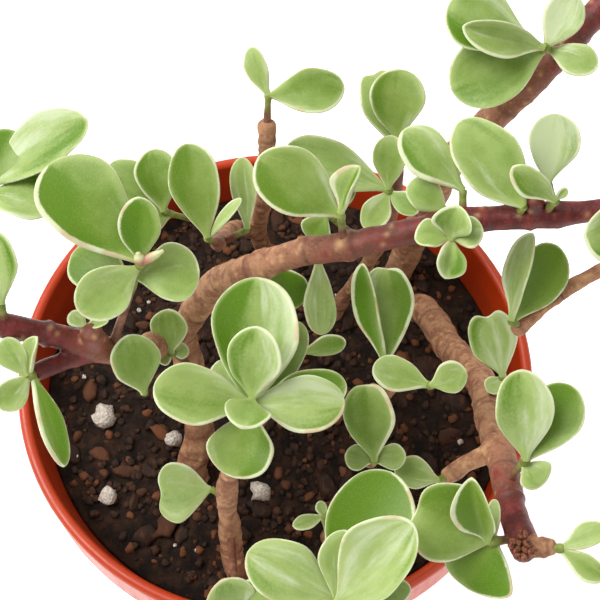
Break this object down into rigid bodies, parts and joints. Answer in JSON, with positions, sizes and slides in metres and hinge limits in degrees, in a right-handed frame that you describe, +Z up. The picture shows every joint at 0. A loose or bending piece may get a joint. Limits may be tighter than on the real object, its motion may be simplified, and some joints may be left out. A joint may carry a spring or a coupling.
{
  "type": "potted elephant bush",
  "caption": "Variegated elephant bush, a branching succulent with small round fleshy leaves, in a round nursery pot of soil.",
  "frame": {"origin": "centre of the pot's underside", "axes": "+Z up along the pot's axis; -Y is the front, where the plant leans out over the rim; +X is to the right seen from the front"},
  "size_m": [0.1566, 0.1195, 0.168],
  "materials": {
    "pot": "terracotta-coloured moulded plastic, slightly glossy",
    "soil": "dark brown crumbly potting soil with bark chips",
    "bark": "rough brown bark turning smooth maroon on young branches",
    "leaf": "waxy green leaf with a cream margin",
    "perlite": "pale porous perlite grain"
  },
  "bodies": {
    "root": {"pot": "pot", "soil": "soil", "main_stem": "bark", "right_stem": "bark", "front_stem": "bark", "front_right_stem": "bark", "middle_stem": "bark", "rear_right_stem": "bark", "rear_middle_stem": "bark", "rear_left_stem": "bark", "perlite_1": "perlite", "perlite_2": "perlite", "perlite_3": "perlite", "perlite_4": "perlite", "shoot_left_tall": "leaf", "shoot_left_far": "leaf", "shoot_left_edge": "leaf", "shoot_left_hanging": "leaf", "shoot_left_bud": "leaf", "shoot_left_low": "leaf", "shoot_crown_small": "leaf", "rosette_front": "leaf", "shoot_under_dark": "leaf", "shoot_under_pale": "leaf", "shoot_soil_low": "leaf", "shoot_middle_pair": "leaf", "shoot_middle_right": "leaf", "shoot_middle_front": "leaf", "shoot_front_big": "leaf", "shoot_front_sliver": "leaf", "shoot_front_left": "leaf", "shoot_right_end": "leaf", "shoot_right_stub": "leaf", "shoot_right_upright": "leaf", "shoot_right_heart": "leaf", "shoot_right_twig": "leaf", "shoot_hanging_tip": "leaf", "shoot_branch_low": "leaf", "shoot_branch_top": "leaf", "shoot_branch_broad": "leaf", "shoot_branch_pale": "leaf", "shoot_branch_stalk": "leaf", "shoot_branch_small": "leaf", "shoot_rear_top": "leaf", "shoot_rear_low": "leaf", "shoot_rear_dark": "leaf", "shoot_branch_standing": "leaf", "shoot_back_tall": "leaf", "shoot_back_pale": "leaf", "shoot_back_left": "leaf", "shoot_back_twig": "leaf", "shoot_rear_end": "leaf", "shoot_rear_tip": "leaf", "shoot_right_far": "leaf", "shoot_main_tip": "leaf", "shoot_main_upper": "leaf", "shoot_left_tip": "leaf", "shoot_left_upper": "leaf", "shoot_old_low": "leaf"}
  },
  "joints": []
}
